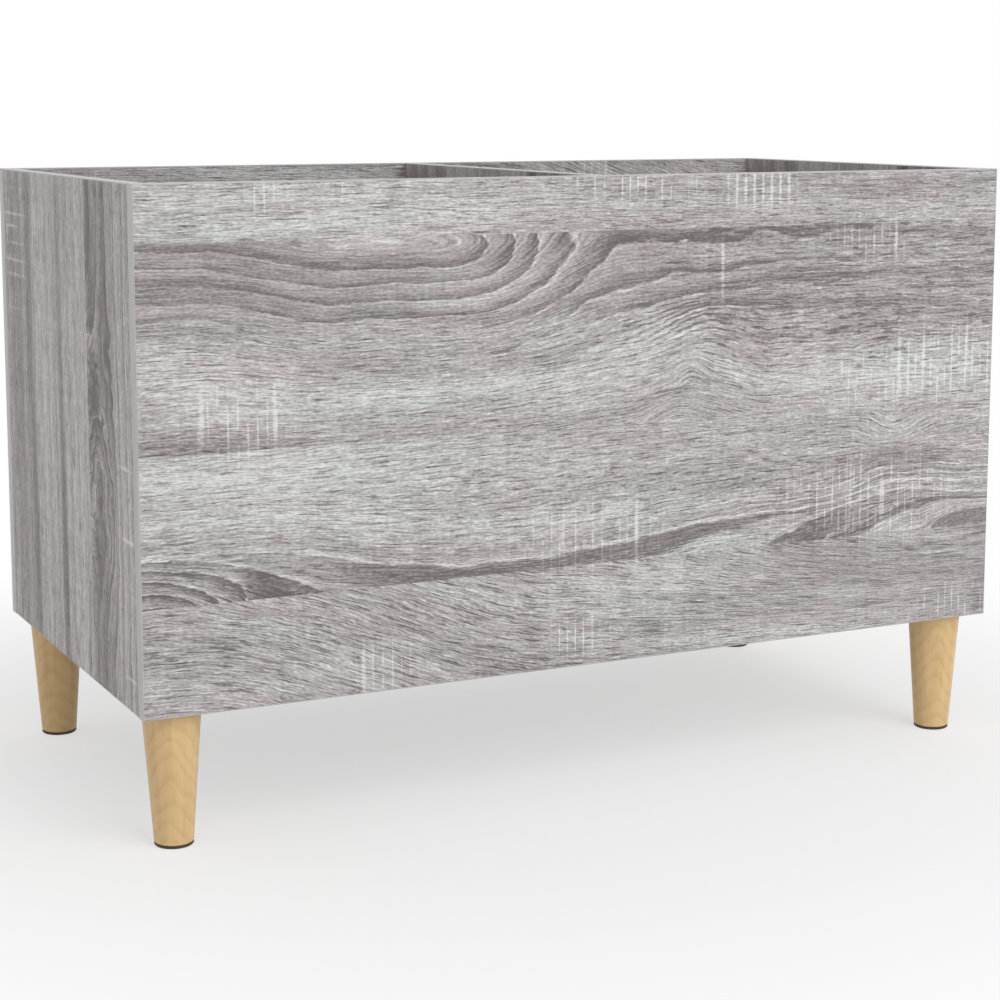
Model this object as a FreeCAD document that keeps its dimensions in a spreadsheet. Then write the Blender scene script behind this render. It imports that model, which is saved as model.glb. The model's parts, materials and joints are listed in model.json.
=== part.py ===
"""A low record cabinet: an open box of thin decor boards on four turned legs.

The frame has +Z up, its origin on the floor under the middle of the footprint, +X to the right and
-Y to the front. Everything is in millimetres.

The front and the back are one kind of board, turned half round, and so are the two sides and the two
record floors. The boards meet in butt joints with loose tongues in stopped grooves, so that no fixing
shows. Blocks in the corners carry the record floors and hold the nuts that the legs screw into.
"""
import FreeCAD, Part
import os
import re

import Sketcher

Vector = FreeCAD.Vector
UP = Vector(0, 0, 1)
HALF_TURN = 180

# Driving sizes, by the piece that carries them

SIZES = {
    # the box
    "cabinet_width": 745,
    "cabinet_depth": 380,
    "carcase_height": 380,
    "board_thickness": 12,
    "record_floor_height": 75,
    # the strips that close the boards' cut edges
    "band_thickness": 0.8,
    "band_chamfer": 0.4,
    # the loose tongues that join the boards
    "tongue_thickness": 4,
    "tongue_face_depth": 5,
    "tongue_edge_depth": 9,
    "tongue_stop": 32,
    # the blocks beside the divider
    "divider_block_width": 20,
    # the legs
    "leg_length": 101,
    "leg_top_diameter": 44,
    "leg_foot_diameter": 29,
    "leg_inset": 30,
    "leg_chamfer": 1,
    # the glides under the legs
    "glide_thickness": 2,
    "glide_chamfer": 0.8,
    "stem_diameter": 8,
    "stem_length": 15,
    "stem_chamfer": 1,
    # the bolts that hold the legs, and the threaded sleeves they turn into
    "hanger_bolt_diameter": 8,
    "hanger_bolt_grip": 36,
    "hanger_bolt_point": 6,
    "hanger_bolt_chamfer": 1,
    "bolt_hole_diameter": 9,
    "sleeve_diameter": 12,
    "sleeve_length": 20,
    # room round and behind what is pushed in
    "fit_clearance": 0.1,
    "end_clearance": 0.5,
    "cut_overrun": 1,
}

doc = FreeCAD.newDocument("record_cabinet")
sheet = doc.addObject("Spreadsheet::Sheet", "sizes")
for row, (name, number) in enumerate(SIZES.items(), start=1):
    sheet.set(f"A{row}", name)
    sheet.set(f"B{row}", str(number))
    sheet.setAlias(f"B{row}", name)
doc.recompute()


def bound(expression):
    """The expression as the document reads it, with every named size taken from the sheet."""
    return re.sub(r"[a-z]\w*", lambda word: f"sizes.{word[0]}", expression)


def value(expression):
    """The expression's value now, in millimetres."""
    return float(sheet.evalExpression(bound(expression)))


# Places that several pieces share. Heights are above the box's underside.

UNDERSIDE = "(glide_thickness + leg_length)"
HALF_WIDTH = "(cabinet_width / 2)"
BAND_LINE = "(cabinet_width / 2 - band_thickness)"
BOARD_TOP = "(carcase_height - band_thickness)"
INNER_WIDTH = "(cabinet_width / 2 - board_thickness)"
INNER_DEPTH = "(cabinet_depth / 2 - board_thickness)"
HALF_BOARD = "(board_thickness / 2)"
SIDE_MIDDLE = "(cabinet_width / 2 - board_thickness / 2)"
BLOCK_TOP = "(record_floor_height - board_thickness)"
BLOCK_SIDE = "(2 * (leg_inset - board_thickness))"
LEG_X = "(cabinet_width / 2 - leg_inset)"
LEG_Y = "(cabinet_depth / 2 - leg_inset)"

HALF_TONGUE = "(tongue_thickness / 2)"
HALF_GROOVE = "(tongue_thickness / 2 + fit_clearance)"
FACE_GROOVE = "(tongue_face_depth + end_clearance)"
EDGE_GROOVE = "(tongue_edge_depth + end_clearance)"
TONGUE_TIP = "(cabinet_depth / 2 - board_thickness + tongue_face_depth)"
TONGUE_HEEL = "(cabinet_depth / 2 - board_thickness - tongue_edge_depth)"
SIDE_TIP = "(cabinet_width / 2 - board_thickness + tongue_face_depth)"
SIDE_HEEL = "(cabinet_width / 2 - board_thickness - tongue_edge_depth)"
TONGUE_FOOT = "(board_thickness + tongue_stop)"
TONGUE_HEAD = "(carcase_height - tongue_stop)"
LONG_TONGUE = "(cabinet_width / 2 - board_thickness - tongue_stop)"
SHORT_TONGUE = "(cabinet_depth / 2 - board_thickness - tongue_stop)"

SLEEVE_BORE = "(sleeve_diameter + 2 * fit_clearance)"
HANGER_BORE = "(hanger_bolt_diameter + 2 * fit_clearance)"
STEM_BORE = "(stem_diameter + 2 * fit_clearance)"


def minus(expression):
    """The same place on the other side of the middle."""
    return f"(-1 * {expression})"


def both(expression):
    """The place on each side of the middle."""
    return (minus(expression), expression)


# Ways of making a solid

def body_named(label, turn=0):
    """A body that stands at the box's underside, turned by so many degrees about the upright."""
    body = doc.addObject("PartDesign::Body", label)
    body.Label = label
    body.AllowCompound = True
    body.Placement = FreeCAD.Placement(Vector(), FreeCAD.Rotation(UP, turn))
    body.setExpression("Placement.Base.z", bound(UNDERSIDE))
    return body


def stand_at(body, x, y, height):
    """Moves a body that is made about its own Z axis to its place under the box."""
    body.setExpression("Placement.Base.x", bound(x))
    body.setExpression("Placement.Base.y", bound(y))
    body.setExpression("Placement.Base.z", bound(height))


def sketch_on(body, plane_role, offset="0"):
    """An empty sketch on one of the body's own planes, moved along the plane's normal by the offset."""
    plane = next(item for item in body.Origin.OriginFeatures if item.Role == plane_role)
    sketch = body.newObject("Sketcher::SketchObject", "outline")
    sketch.AttachmentSupport = [(plane, "")]
    sketch.MapMode = "FlatFace"
    sketch.setExpression("AttachmentOffset.Base.z", bound(offset))
    return sketch


def pin(sketch, geometry, point, place):
    """Holds one point of the sketch at a place that the sheet gives."""
    for kind, expression in zip(("DistanceX", "DistanceY"), place):
        rule = Sketcher.Constraint(kind, -1, 1, geometry, point, value(expression))
        sketch.setExpression(f"Constraints[{sketch.addConstraint(rule)}]", bound(expression))


def add_outline(sketch, places):
    """Closes a ring of straight lines through the places, each corner pinned to its own."""
    first = sketch.GeometryCount
    corners = [Vector(value(x), value(y), 0) for x, y in places]
    for start, end in zip(corners, corners[1:] + corners[:1]):
        sketch.addGeometry(Part.LineSegment(start, end), False)
    for number, place in enumerate(places):
        following = first + (number + 1) % len(places)
        sketch.addConstraint(Sketcher.Constraint("Coincident", first + number, 2, following, 1))
        pin(sketch, first + number, 1, place)


def add_rectangles(sketch, rectangles):
    """A rectangle for each (left, right, low, high)."""
    for left, right, low, high in rectangles:
        add_outline(sketch, [(left, low), (right, low), (right, high), (left, high)])


def add_circles(sketch, places, diameter):
    """One circle of the same diameter at each place."""
    for x, y in places:
        centre = Vector(value(x), value(y), 0)
        circle = sketch.addGeometry(Part.Circle(centre, UP, value(diameter) / 2), False)
        pin(sketch, circle, 3, (x, y))
        rule = Sketcher.Constraint("Diameter", circle, value(diameter))
        sketch.setExpression(f"Constraints[{sketch.addConstraint(rule)}]", bound(diameter))


def pad(body, sketch, thickness, reverse=False, middle=False):
    """Gives the sketch its thickness, along the normal, against it, or half each way."""
    feature = body.newObject("PartDesign::Pad", "board")
    feature.Profile = sketch
    feature.Reversed = reverse
    feature.Midplane = middle
    feature.setExpression("Length", bound(thickness))
    doc.recompute()


def pocket(body, sketch, depth, reverse=False):
    """Cuts the sketch against its normal, or along it if reversed, and makes sure that it cut."""
    before = body.Shape.Volume
    feature = body.newObject("PartDesign::Pocket", "cut")
    feature.Profile = sketch
    feature.Reversed = reverse
    feature.setExpression("Length", bound(depth))
    doc.recompute()
    if not body.Shape.Volume < before:
        raise RuntimeError(f"{body.Label}: {feature.Name} cut nothing")


def groove(body, plane_role, offset, rectangles, depth, reverse=False):
    """Cuts a groove for each (left, right, low, high) on a plane of the body."""
    sketch = sketch_on(body, plane_role, offset)
    add_rectangles(sketch, rectangles)
    pocket(body, sketch, depth, reverse)


def bore(body, plane_role, offset, places, diameter, depth, reverse=False):
    """Drills a round hole at each place on a plane of the body."""
    sketch = sketch_on(body, plane_role, offset)
    add_circles(sketch, places, diameter)
    pocket(body, sketch, depth, reverse)


def turned(body, places):
    """A solid of revolution about the body's Z axis, from its half outline as (radius, height)."""
    sketch = sketch_on(body, "XZ_Plane")
    add_outline(sketch, places)
    feature = body.newObject("PartDesign::Revolution", "turning")
    feature.Profile = sketch
    feature.ReferenceAxis = (sketch, ["V_Axis"])
    doc.recompute()


def break_edges(body, chosen, size):
    """Chamfers the edges of the body's last feature that the test chooses."""
    base = body.Tip
    names = [f"Edge{number}" for number, edge in enumerate(base.Shape.Edges, start=1) if chosen(edge)]
    feature = body.newObject("PartDesign::Chamfer", "arris")
    feature.Base = (base, names)
    feature.setExpression("Size", bound(size))
    doc.recompute()


# The grooves, each as (left, right, low, high) in the plane of the face it is cut into

def standing_groove(middle):
    """A stopped groove that runs up a board about the middle line."""
    return (f"({middle} - {HALF_GROOVE})", f"({middle} + {HALF_GROOVE})",
            f"({TONGUE_FOOT} - end_clearance)", f"({TONGUE_HEAD} + end_clearance)")


def lying_groove(reach):
    """A stopped groove that runs along the bottom board's edge, as far as the reach to each side."""
    return (f"(-1 * {reach} - end_clearance)", f"({reach} + end_clearance)",
            f"({HALF_BOARD} - {HALF_GROOVE})", f"({HALF_BOARD} + {HALF_GROOVE})")


def groove_ends(body, rectangle):
    """Grooves both ends of a board that runs from the front to the back."""
    groove(body, "XZ_Plane", INNER_DEPTH, [rectangle], EDGE_GROOVE)
    groove(body, "XZ_Plane", minus(INNER_DEPTH), [rectangle], EDGE_GROOVE, reverse=True)


# The boards

def face_panel(label, turn):
    """The front, or turned half round the back: full width, so that it covers the sides' ends."""
    body = body_named(label, turn)
    sketch = sketch_on(body, "XZ_Plane", INNER_DEPTH)
    add_rectangles(sketch, [(minus(BAND_LINE), BAND_LINE, "band_thickness", BOARD_TOP)])
    pad(body, sketch, "board_thickness")
    grooves = [standing_groove(middle) for middle in (minus(SIDE_MIDDLE), "0", SIDE_MIDDLE)]
    grooves.append(lying_groove(LONG_TONGUE))
    groove(body, "XZ_Plane", INNER_DEPTH, grooves, FACE_GROOVE, reverse=True)
    return body


def side_panel(label, turn):
    """The left side, or turned half round the right one, held between the front and the back."""
    body = body_named(label, turn)
    inner_face = minus(INNER_WIDTH)
    sketch = sketch_on(body, "YZ_Plane", inner_face)
    add_rectangles(sketch, [(minus(INNER_DEPTH), INNER_DEPTH, "band_thickness", BOARD_TOP)])
    pad(body, sketch, "board_thickness", reverse=True)
    groove(body, "YZ_Plane", inner_face, [lying_groove(SHORT_TONGUE)], FACE_GROOVE)
    groove_ends(body, standing_groove(minus(SIDE_MIDDLE)))
    return body


def centre_divider(label):
    """The board that stands on the bottom in the middle and parts the two bays."""
    body = body_named(label)
    sketch = sketch_on(body, "YZ_Plane")
    add_rectangles(sketch, [(minus(INNER_DEPTH), INNER_DEPTH, "board_thickness", BOARD_TOP)])
    pad(body, sketch, "board_thickness", middle=True)
    groove_ends(body, standing_groove("0"))
    return body


def bottom_panel(label):
    """The board that closes the box from below, flush with the walls, with a hole over each leg."""
    body = body_named(label)
    sketch = sketch_on(body, "XY_Plane")
    add_rectangles(sketch, [(minus(INNER_WIDTH), INNER_WIDTH, minus(INNER_DEPTH), INNER_DEPTH)])
    pad(body, sketch, "board_thickness")
    groove_ends(body, lying_groove(LONG_TONGUE))
    groove(body, "YZ_Plane", INNER_WIDTH, [lying_groove(SHORT_TONGUE)], EDGE_GROOVE)
    groove(body, "YZ_Plane", minus(INNER_WIDTH), [lying_groove(SHORT_TONGUE)], EDGE_GROOVE, reverse=True)
    legs = [(x, y) for x in both(LEG_X) for y in both(LEG_Y)]
    bore(body, "XY_Plane", "0", legs, "bolt_hole_diameter", "board_thickness + cut_overrun", reverse=True)
    return body


def record_floor(label, turn):
    """The right bay's floor, or turned half round the left one's, which lifts the sleeves to the rim."""
    body = body_named(label, turn)
    sketch = sketch_on(body, "XY_Plane", BLOCK_TOP)
    add_rectangles(sketch, [(HALF_BOARD, INNER_WIDTH, minus(INNER_DEPTH), INNER_DEPTH)])
    pad(body, sketch, "board_thickness")
    return body


# The strips glued to the boards' cut edges. Each keeps its long outer corners lightly broken.

def is_long(edge):
    """Whether an edge runs along a strip and not across it."""
    return edge.Length > value("board_thickness + band_thickness")


def lies_at(number, expression):
    """Whether a number is the sheet's value, within rounding."""
    return abs(number - value(expression)) < Part.Precision.confusion()


def on_rim_or_underside(edge):
    """The long edges at the very top or bottom of the box."""
    height = edge.CenterOfMass.z
    return is_long(edge) and (lies_at(height, "0") or lies_at(height, "carcase_height"))


def on_outer_end(edge):
    """The long edges at the very left or right of the box."""
    return is_long(edge) and lies_at(abs(edge.CenterOfMass.x), HALF_WIDTH)


def face_rim_bands(label, turn):
    """The strips along the top and the bottom edge of the front or the back."""
    body = body_named(label, turn)
    sketch = sketch_on(body, "XZ_Plane", INNER_DEPTH)
    add_rectangles(sketch, [
        (minus(HALF_WIDTH), HALF_WIDTH, "0", "band_thickness"),
        (minus(HALF_WIDTH), HALF_WIDTH, BOARD_TOP, "carcase_height"),
    ])
    pad(body, sketch, "board_thickness")
    break_edges(body, on_rim_or_underside, "band_chamfer")
    return body


def face_end_bands(label, turn):
    """The upright strips on the two ends of the front or the back, which show at the box's sides."""
    body = body_named(label, turn)
    sketch = sketch_on(body, "XZ_Plane", INNER_DEPTH)
    add_rectangles(sketch, [
        (minus(HALF_WIDTH), minus(BAND_LINE), "band_thickness", BOARD_TOP),
        (BAND_LINE, HALF_WIDTH, "band_thickness", BOARD_TOP),
    ])
    pad(body, sketch, "board_thickness")
    break_edges(body, on_outer_end, "band_chamfer")
    return body


def side_rim_bands(label, turn):
    """The strips along the top and the bottom edge of a side."""
    body = body_named(label, turn)
    sketch = sketch_on(body, "YZ_Plane", minus(INNER_WIDTH))
    add_rectangles(sketch, [
        (minus(INNER_DEPTH), INNER_DEPTH, "0", "band_thickness"),
        (minus(INNER_DEPTH), INNER_DEPTH, BOARD_TOP, "carcase_height"),
    ])
    pad(body, sketch, "board_thickness", reverse=True)
    break_edges(body, on_rim_or_underside, "band_chamfer")
    return body


def divider_rim_band(label):
    """The strip along the divider's top edge."""
    body = body_named(label)
    sketch = sketch_on(body, "YZ_Plane")
    add_rectangles(sketch, [(minus(INNER_DEPTH), INNER_DEPTH, BOARD_TOP, "carcase_height")])
    pad(body, sketch, "board_thickness", middle=True)
    break_edges(body, on_rim_or_underside, "band_chamfer")
    return body


# The loose tongues

def standing_tongues(label, middles):
    """Upright tongues at the front and the back, half in the wall and half in the board behind it."""
    body = body_named(label)
    sketch = sketch_on(body, "XY_Plane", TONGUE_FOOT)
    add_rectangles(sketch, [
        (f"({middle} - {HALF_TONGUE})", f"({middle} + {HALF_TONGUE})", *ends)
        for middle in middles
        for ends in ((TONGUE_HEEL, TONGUE_TIP), (minus(TONGUE_TIP), minus(TONGUE_HEEL)))
    ])
    pad(body, sketch, f"{TONGUE_HEAD} - {TONGUE_FOOT}")
    return body


def bottom_tongues(label):
    """The tongues that lie along the bottom board's four edges."""
    body = body_named(label)
    sketch = sketch_on(body, "XY_Plane", f"{HALF_BOARD} - {HALF_TONGUE}")
    add_rectangles(sketch, [
        (minus(LONG_TONGUE), LONG_TONGUE, TONGUE_HEEL, TONGUE_TIP),
        (minus(LONG_TONGUE), LONG_TONGUE, minus(TONGUE_TIP), minus(TONGUE_HEEL)),
        (SIDE_HEEL, SIDE_TIP, minus(SHORT_TONGUE), SHORT_TONGUE),
        (minus(SIDE_TIP), minus(SIDE_HEEL), minus(SHORT_TONGUE), SHORT_TONGUE),
    ])
    pad(body, sketch, "tongue_thickness")
    return body


# The blocks under the record floors

def corner_block(label, x, y):
    """A square block in a corner, centred on the leg below, with the threaded sleeve's bore."""
    body = body_named(label)
    half = f"({BLOCK_SIDE} / 2)"
    sketch = sketch_on(body, "XY_Plane")
    add_rectangles(sketch, [(minus(half), half, minus(half), half)])
    pad(body, sketch, f"{BLOCK_TOP} - board_thickness")
    bore(body, "XY_Plane", "0", [("0", "0")], SLEEVE_BORE, "sleeve_length + end_clearance", reverse=True)
    stand_at(body, x, y, f"{UNDERSIDE} + board_thickness")
    return body


def divider_blocks(label):
    """The blocks that carry the floors' inner ends, two on each side of the divider."""
    body = body_named(label)
    sketch = sketch_on(body, "XY_Plane", "board_thickness")
    across = (HALF_BOARD, f"({HALF_BOARD} + divider_block_width)")
    along = (f"({INNER_DEPTH} - {BLOCK_SIDE})", INNER_DEPTH)
    mirrored = [tuple(minus(place) for place in reversed(pair)) for pair in (across, along)]
    add_rectangles(sketch, [(*x, *y) for x in (across, mirrored[0]) for y in (along, mirrored[1])])
    pad(body, sketch, f"{BLOCK_TOP} - board_thickness")
    return body


# The legs and what holds them

def leg(label, x, y):
    """A turned leg, wide at the top, with the bolt's bore above and the glide's bore below."""
    body = body_named(label)
    slope = "((leg_top_diameter - leg_foot_diameter) / 2 / leg_length)"
    shoulder = f"(leg_top_diameter / 2 - leg_chamfer * {slope})"
    ankle = f"(leg_foot_diameter / 2 + leg_chamfer * {slope})"
    bolt = f"({HANGER_BORE} / 2)"
    bolt_end = "(-1 * (hanger_bolt_grip + end_clearance))"
    stem = f"({STEM_BORE} / 2)"
    stem_end = "(stem_length + end_clearance - leg_length)"
    turned(body, [
        (bolt, "0"),
        (f"({shoulder} - leg_chamfer)", "0"),
        (shoulder, "(-1 * leg_chamfer)"),
        (ankle, "(leg_chamfer - leg_length)"),
        (f"({ankle} - leg_chamfer)", "(-1 * leg_length)"),
        (stem, "(-1 * leg_length)"),
        (stem, stem_end),
        ("0", stem_end),
        ("0", bolt_end),
        (bolt, bolt_end),
    ])
    stand_at(body, x, y, UNDERSIDE)
    return body


def glide(label, x, y):
    """A moulded foot of the leg's own width, with a stem that is pressed into the leg."""
    body = body_named(label)
    top = "(glide_thickness + stem_length)"
    turned(body, [
        ("0", "0"),
        ("leg_foot_diameter / 2 - glide_chamfer", "0"),
        ("leg_foot_diameter / 2", "glide_chamfer"),
        ("leg_foot_diameter / 2", "glide_thickness"),
        ("stem_diameter / 2", "glide_thickness"),
        ("stem_diameter / 2", f"({top} - stem_chamfer)"),
        ("stem_diameter / 2 - stem_chamfer", top),
        ("0", top),
    ])
    stand_at(body, x, y, "0")
    return body


def hanger_bolt(label, x, y):
    """A headless bolt with a wood screw's point below and a blunt end in the sleeve above."""
    body = body_named(label)
    radius = "hanger_bolt_diameter / 2"
    top = "(board_thickness + sleeve_length)"
    turned(body, [
        ("0", "(-1 * hanger_bolt_grip)"),
        (radius, "(hanger_bolt_point - hanger_bolt_grip)"),
        (radius, f"({top} - hanger_bolt_chamfer)"),
        (f"({radius} - hanger_bolt_chamfer)", top),
        ("0", top),
    ])
    stand_at(body, x, y, UNDERSIDE)
    return body


def threaded_sleeve(label, x, y):
    """The nut that is set into a corner block: a plain tube, flush with the block's underside."""
    body = body_named(label)
    bolt = f"({HANGER_BORE} / 2)"
    turned(body, [
        (bolt, "0"),
        ("sleeve_diameter / 2", "0"),
        ("sleeve_diameter / 2", "sleeve_length"),
        (bolt, "sleeve_length"),
    ])
    stand_at(body, x, y, f"{UNDERSIDE} + board_thickness")
    return body


# The corners, each with the place of its leg's axis

FRONT_CORNERS = [("front_left", minus(LEG_X), minus(LEG_Y)), ("front_right", LEG_X, minus(LEG_Y))]
BACK_CORNERS = [("back_left", minus(LEG_X), LEG_Y), ("back_right", LEG_X, LEG_Y)]
CORNERS = FRONT_CORNERS + BACK_CORNERS


def group(label, piece, corners):
    """One node of like pieces, a separate solid at each of the corners."""
    name = piece.__name__
    feature = doc.addObject("Part::Compound", label)
    feature.Label = label
    feature.Links = [piece(f"{corner}_{name}", x, y) for corner, x, y in corners]
    return feature


NODES = [
    face_panel("front_panel", 0),
    face_panel("back_panel", HALF_TURN),
    side_panel("left_side_panel", 0),
    side_panel("right_side_panel", HALF_TURN),
    bottom_panel("bottom_panel"),
    centre_divider("centre_divider"),
    record_floor("right_record_floor", 0),
    record_floor("left_record_floor", HALF_TURN),
    face_rim_bands("front_panel_rim_bands", 0),
    face_rim_bands("back_panel_rim_bands", HALF_TURN),
    face_end_bands("front_panel_end_bands", 0),
    face_end_bands("back_panel_end_bands", HALF_TURN),
    side_rim_bands("left_side_rim_bands", 0),
    side_rim_bands("right_side_rim_bands", HALF_TURN),
    divider_rim_band("divider_rim_band"),
    standing_tongues("corner_tongues", both(SIDE_MIDDLE)),
    standing_tongues("divider_tongues", ("0",)),
    bottom_tongues("bottom_tongues"),
    divider_blocks("divider_blocks"),
    *(corner_block(f"{corner}_corner_block", x, y) for corner, x, y in CORNERS),
    group("front_legs", leg, FRONT_CORNERS),
    group("back_legs", leg, BACK_CORNERS),
    group("front_leg_glides", glide, FRONT_CORNERS),
    group("back_leg_glides", glide, BACK_CORNERS),
    group("leg_hanger_bolts", hanger_bolt, CORNERS),
    group("leg_threaded_sleeves", threaded_sleeve, CORNERS),
]
doc.recompute()

# Every object has to be sound before any file is written

for item in doc.Objects:
    if "Invalid" in item.State or "Error" in item.State:
        raise RuntimeError(f"{item.Label} could not be made")
for node in NODES:
    if node.Shape.isNull() or not node.Shape.isValid():
        raise RuntimeError(f"{node.Label} has no sound shape")
os.makedirs("parts", exist_ok=True)
for node in NODES:
    node.Shape.exportStep(f"parts/{node.Label}.step")
    print(f"{node.Label}: {len(node.Shape.Solids)} solids, {node.Shape.Volume / 1000:.1f} cm3")
print(len(NODES), "nodes")
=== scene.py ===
# %% [markdown]
# # A record cabinet, dressed in Blender
#
# The cabinet comes from its CAD model as a set of separate pieces that are already at their real size and
# place. This notebook gives each of them its finish and adds the camera, the light and the floor. Lengths
# are in metres, +Z is up and the front looks towards -Y.

# %% Load the model
import json
import math

import bpy
import numpy as np
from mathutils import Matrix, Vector


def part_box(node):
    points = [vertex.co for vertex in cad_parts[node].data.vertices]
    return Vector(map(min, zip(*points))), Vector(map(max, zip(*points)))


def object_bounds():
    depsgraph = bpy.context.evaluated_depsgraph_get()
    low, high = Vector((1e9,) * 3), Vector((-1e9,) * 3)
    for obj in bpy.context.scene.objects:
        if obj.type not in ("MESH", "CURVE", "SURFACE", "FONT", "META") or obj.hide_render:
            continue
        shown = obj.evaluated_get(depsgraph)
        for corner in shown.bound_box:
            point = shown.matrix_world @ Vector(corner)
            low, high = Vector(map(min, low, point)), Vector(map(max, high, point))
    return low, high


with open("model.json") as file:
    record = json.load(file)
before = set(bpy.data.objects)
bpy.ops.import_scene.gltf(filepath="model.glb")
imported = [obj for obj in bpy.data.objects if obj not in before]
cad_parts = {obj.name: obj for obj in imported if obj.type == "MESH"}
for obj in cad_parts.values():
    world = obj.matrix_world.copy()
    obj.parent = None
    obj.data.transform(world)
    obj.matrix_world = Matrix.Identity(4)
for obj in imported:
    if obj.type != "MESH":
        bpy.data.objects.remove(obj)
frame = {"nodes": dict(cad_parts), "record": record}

MM = 0.001
cad_low, cad_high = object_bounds()

# %% [markdown]
# ## Sizes
#
# The finishes are drawn in millimetres on the face of a board, so a few sizes are needed first. They are
# read from the boxes of the model's own pieces, so that a pattern stays on the board that carries it.

# %% Sizes of the box
HALF_WIDTH, HALF_DEPTH, TOP = cad_high
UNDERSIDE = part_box("front_panel_rim_bands")[0][2]
BOX_HEIGHT = TOP - UNDERSIDE
print("the box is", round(BOX_HEIGHT / MM, 1), "mm high and starts", round(UNDERSIDE / MM, 1), "mm up")


def middle(name):
    """The centre of a piece's box."""
    low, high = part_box(name)
    return [(near + far) / 2 for near, far in zip(low, high)]


# %% [markdown]
# ## Shader maths as Python
#
# A procedural finish is a long sum of small terms. Wired by hand that is a web of Math nodes which nobody
# can read. A small class that wraps one output socket lets the same sum be written as a Python expression:
# each operator adds the Math node that it stands for, and plain numbers on either side stay numbers.

# %% A socket that can be calculated with
class Wire:
    """One output of a shader node, with arithmetic: every operator adds the Math node of its name."""

    def __init__(self, tree, socket=None):
        self.tree, self.socket = tree, socket

    def node(self, kind, settings=None, inputs=None, output=0):
        """Adds any node to the same tree: first its settings, then values or wires for its sockets."""
        made = self.tree.nodes.new(kind)
        for name, setting in (settings or {}).items():
            if name == "stops":
                set_stops(made.color_ramp, setting)
            else:
                setattr(made, name, setting)
        for name, given in (inputs or {}).items():
            if isinstance(given, Wire):
                self.tree.links.new(given.socket, made.inputs[name])
            else:
                made.inputs[name].default_value = given
        return Wire(self.tree, None if output is None else made.outputs[output])

    def maths(self, operation, *values):
        """A Math node of this operation on these values, each a wire or a number."""
        return self.node("ShaderNodeMath", {"operation": operation}, dict(enumerate(values)))

    def __add__(self, other):
        return self.maths("ADD", self, other)

    __radd__ = __add__

    def __mul__(self, other):
        return self.maths("MULTIPLY", self, other)

    __rmul__ = __mul__

    def __sub__(self, other):
        return self.maths("SUBTRACT", self, other)

    def __rsub__(self, other):
        return self.maths("SUBTRACT", other, self)

    def __pow__(self, other):
        return self.maths("POWER", self, other)

    def __gt__(self, other):
        return self.maths("GREATER_THAN", self, other)

    def __lt__(self, other):
        return self.maths("LESS_THAN", self, other)


def set_stops(ramp, stops):
    """Gives a colour ramp its stops, each as (position, colour)."""
    while len(ramp.elements) < len(stops):
        ramp.elements.new(1.0)
    for element, (position, colour) in zip(ramp.elements, stops):
        element.position = position
        element.color = (*colour, 1.0)


# %% Shapes of one value
def smooth(wire, low, high):
    """0 below low, 1 above high, and a soft S between them; it falls where low is the larger."""
    settings = {"interpolation_type": "SMOOTHSTEP"}
    return wire.node("ShaderNodeMapRange", settings, {"Value": wire, "From Min": low, "From Max": high})


def between(wire, low, high, edge):
    """1 from low to high, with edges this soft, and 0 outside."""
    return smooth(wire, low - edge, low + edge) * smooth(wire, high + edge, high - edge)


def clamp(wire):
    """The value kept between 0 and 1."""
    return wire.node("ShaderNodeClamp", None, {"Value": wire})


def zigzag(wire, reach):
    """The value folded: it rises from 0 to the reach, falls back to 0, and so on."""
    return wire.maths("PINGPONG", wire, reach)


def ring_place(wire, pitch):
    """How far the value is into its ring, from 0 to 1, where one ring follows another at this pitch."""
    counted = wire * (1 / pitch)
    return counted.maths("FRACT", counted)


def length(first, second):
    """The root of the sum of two squares, as in a triangle with a right angle."""
    return (first * first + second * second) ** 0.5


# %% Noise
def cloud(*place, detail=2.0, roughness=0.5):
    """Soft noise around 0, mostly from -0.3 to 0.3, at a place of two or three wires or numbers."""
    wire = next(part for part in place if isinstance(part, Wire))
    joined = wire.node("ShaderNodeCombineXYZ", None, dict(enumerate(place)))
    inputs = {"Vector": joined, "Scale": 1.0, "Detail": detail, "Roughness": roughness}
    settings = {"noise_dimensions": "2D" if len(place) == 2 else "3D"}
    return wire.node("ShaderNodeTexNoise", settings, inputs) - 0.5


# %% [markdown]
# ## Colours
#
# Colours are easiest to pick as they look on the screen, from 0 to 255, but light is added up in linear
# values. One function turns the first kind into the second. Two others blend colours in nodes that are
# meant for them, because a Math node would turn them grey. A Mix node's sockets for numbers and for colours
# have the same names, so those for colours are found by their places.

# %% Screen colours
MIX_FACTOR, MIX_FIRST, MIX_SECOND, MIX_RESULT = 0, 6, 7, 2


def shade(red, green, blue):
    """The linear colour that shows as this screen colour: the usual power of 2.4 with its linear toe."""
    screen = np.array([red, green, blue]) / 255
    linear = np.where(screen > 0.04045, ((screen + 0.055) / 1.055) ** 2.4, screen / 12.92)
    return tuple(float(part) for part in linear)


def mix(factor, first, second):
    """Blends two colours, each a wire or a tuple, by a factor from 0 to 1."""
    def full(colour):
        return colour if isinstance(colour, Wire) else (*colour, 1.0)
    inputs = {MIX_FACTOR: factor, MIX_FIRST: full(first), MIX_SECOND: full(second)}
    return factor.node("ShaderNodeMix", {"data_type": "RGBA"}, inputs, output=MIX_RESULT)


def ramp(tone, stops):
    """The colour of a tone on a colour ramp, whose stops are given as (tone, screen colour)."""
    linear_stops = [(at, shade(*colour)) for at, colour in stops]
    return tone.node("ShaderNodeValToRGB", {"stops": linear_stops}, {"Fac": tone})


# %% Start and finish a material
def shader_of(material):
    """The shader that a new material comes with."""
    return next(node for node in material.node_tree.nodes if node.type == "BSDF_PRINCIPLED")


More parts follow.
